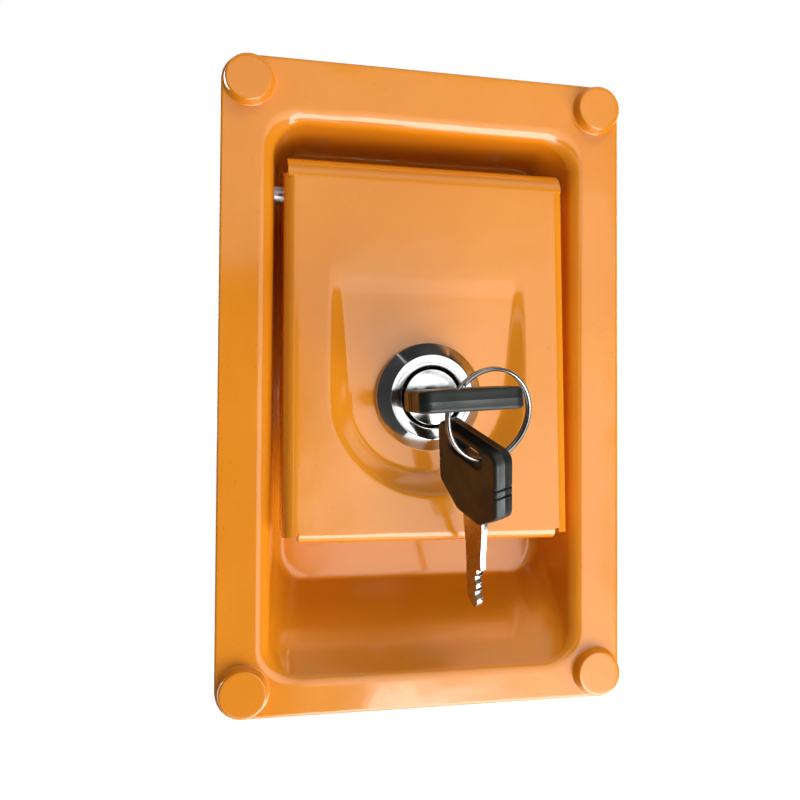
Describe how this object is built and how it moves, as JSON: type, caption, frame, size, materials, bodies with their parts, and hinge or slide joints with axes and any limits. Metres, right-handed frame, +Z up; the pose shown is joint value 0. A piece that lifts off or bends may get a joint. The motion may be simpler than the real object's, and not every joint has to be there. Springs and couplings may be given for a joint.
{
  "type": "paddle latch",
  "caption": "Flush paddle latch for a side door: pressed sheet pan, hinged paddle with a keyed cam lock, slam bolt behind, and keys on a split ring.",
  "frame": {"origin": "middle of the four mounting bolts, on the back face of the flange", "axes": "+Z up along the latch, -Y out of the door towards the user, +X right as seen from the front"},
  "size_m": [0.117, 0.0779, 0.17],
  "materials": {
    "orange": "glossy orange enamel over pressed steel sheet",
    "steel": "bright zinc plated steel",
    "dark_steel": "phosphated spring steel",
    "zinc": "zinc plated steel, satin",
    "chrome": "polished chrome over die-cast zinc",
    "brass": "stamped brass",
    "black_plastic": "moulded black plastic with a soft sheen",
    "key_steel": "bright nickel plated steel"
  },
  "bodies": {
    "frame": {"pan": "orange", "mounting_bolts": "orange", "hinge_pin": "steel", "hinge_pin_clip": "dark_steel", "hinge_spring": "steel", "bolt_guide": "zinc", "guide_rivets": "steel", "bolt_spring": "steel"},
    "paddle": {"paddle": "orange", "release_arm": "zinc", "lock_body": "chrome", "lock_washer": "steel", "lock_nut": "steel"},
    "plug": {"plug": "chrome", "wafer_tumblers": "brass", "cam": "zinc", "cam_washer": "steel", "cam_screw": "steel"},
    "key_1": {"key_1_bow": "black_plastic", "key_1_blade": "key_steel"},
    "ring": {"key_ring": "key_steel"},
    "key_2": {"key_2_bow": "black_plastic", "key_2_blade": "key_steel"},
    "slam_bolt": {"slam_bolt": "zinc"}
  },
  "joints": [
    {"name": "paddle_hinge", "type": "hinge", "parent": "frame", "child": "paddle", "pos_m": [0, 0.0085, 0.0515], "axis": [-1, 0, 0], "range_deg": [0, 30], "stiffness_Nm_per_rad": 0.25, "springref_deg": -34.38, "deforming": ["hinge_spring"]},
    {"name": "slam_bolt_slide", "type": "slide", "parent": "frame", "child": "slam_bolt", "axis": [-1, 0, 0], "range_m": [0, 0.013], "deforming": ["bolt_spring"]},
    {"name": "plug_turn", "type": "hinge", "parent": "paddle", "child": "plug", "pos_m": [0, -0.00103, -0.00275], "axis": [0, -0.999, -0.0454], "range_deg": [-90, 0]},
    {"name": "key_1_slide", "type": "slide", "parent": "plug", "child": "key_1", "axis": [0, -0.999, -0.0454], "range_m": [0, 0.022]},
    {"name": "ring_swing", "type": "hinge", "parent": "key_1", "child": "ring", "pos_m": [0, -0.0384, -0.00444], "axis": [0.9978, -0.003, 0.0662], "range_deg": [-18, 0]},
    {"name": "key_2_swing", "type": "hinge", "parent": "ring", "child": "key_2", "pos_m": [0.00631, -0.03258, -0.01828], "axis": [0.9719, 0.2201, 0.0837], "range_deg": [-20, 0]}
  ],
  "couplings": [
    {"joint": "slam_bolt_slide", "follows": "paddle_hinge", "m_per_rad": 0.024828}
  ]
}
